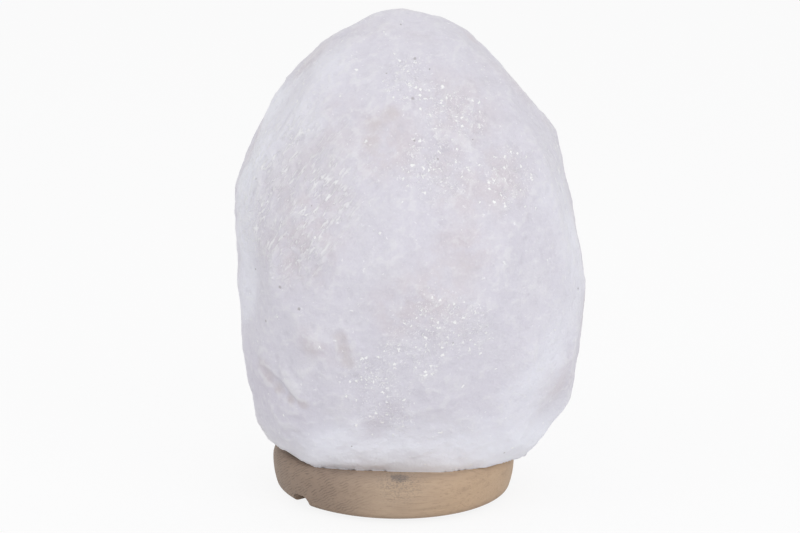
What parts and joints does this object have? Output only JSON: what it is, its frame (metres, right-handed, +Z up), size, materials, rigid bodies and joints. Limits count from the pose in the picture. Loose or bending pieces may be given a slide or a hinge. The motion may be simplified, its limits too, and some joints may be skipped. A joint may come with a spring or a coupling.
{
  "type": "salt crystal lamp",
  "caption": "Hewn block of pale salt on a turned wooden base, lit from inside by a small screw-cap bulb in a clipped lampholder.",
  "frame": {"origin": "on the table, under the middle of the crystal's widest outline", "axes": "+Z up, +Y to the back, +X to the right seen from the front"},
  "size_m": [0.1726, 0.1519, 0.239],
  "materials": {
    "salt": "satin",
    "wood": "satin",
    "rubber": "matte",
    "steel": "satin",
    "zinc_steel": "satin",
    "spring_steel": "satin",
    "grey_plastic": "matte",
    "black_plastic": "satin",
    "core_plastic": "matte",
    "brass": "satin",
    "sleeve_brass": "satin",
    "solder": "satin",
    "black_glass": "gloss",
    "cap_metal": "satin",
    "clear_glass": "gloss",
    "stem_glass": "gloss",
    "wire_nickel": "satin",
    "tungsten": "satin"
  },
  "bodies": {
    "lamp": {"salt_crystal": "salt", "wood_base": "wood", "base_screws": "steel", "screw_plugs": "grey_plastic", "rubber_feet": "rubber"},
    "holder": {"cord_nipple": "zinc_steel", "clip_nut": "zinc_steel", "lock_washer": "zinc_steel", "spring_clip": "spring_steel", "holder_cap": "black_plastic", "holder_barrel": "black_plastic", "holder_core": "core_plastic", "terminal_blocks": "brass", "terminal_screws": "steel", "thread_sleeve": "sleeve_brass", "centre_contact": "brass"},
    "bulb_tip": {"bulb_contact": "solder"},
    "bulb": {"cap_insulator": "black_glass", "bulb_cap": "cap_metal", "bulb_glass": "clear_glass", "glass_stem": "stem_glass", "lead_wires": "wire_nickel", "filament": "tungsten", "filament_supports": "wire_nickel"}
  },
  "joints": [
    {"name": "holder_pull", "type": "slide", "parent": "lamp", "child": "holder", "axis": [0, 0, 1], "range_m": [-0.1, 0]},
    {"name": "bulb_travel", "type": "slide", "parent": "holder", "child": "bulb_tip", "axis": [0, 0, 1], "range_m": [0, 0.0113]},
    {"name": "bulb_turn", "type": "hinge", "parent": "bulb_tip", "child": "bulb", "pos_m": [-0.0073, -0.00125, 0.045], "axis": [0, 0, 1], "range_deg": [0, 1440]}
  ],
  "couplings": [
    {"joint": "bulb_travel", "follows": "bulb_turn", "m_per_rad": 0.00044917}
  ]
}
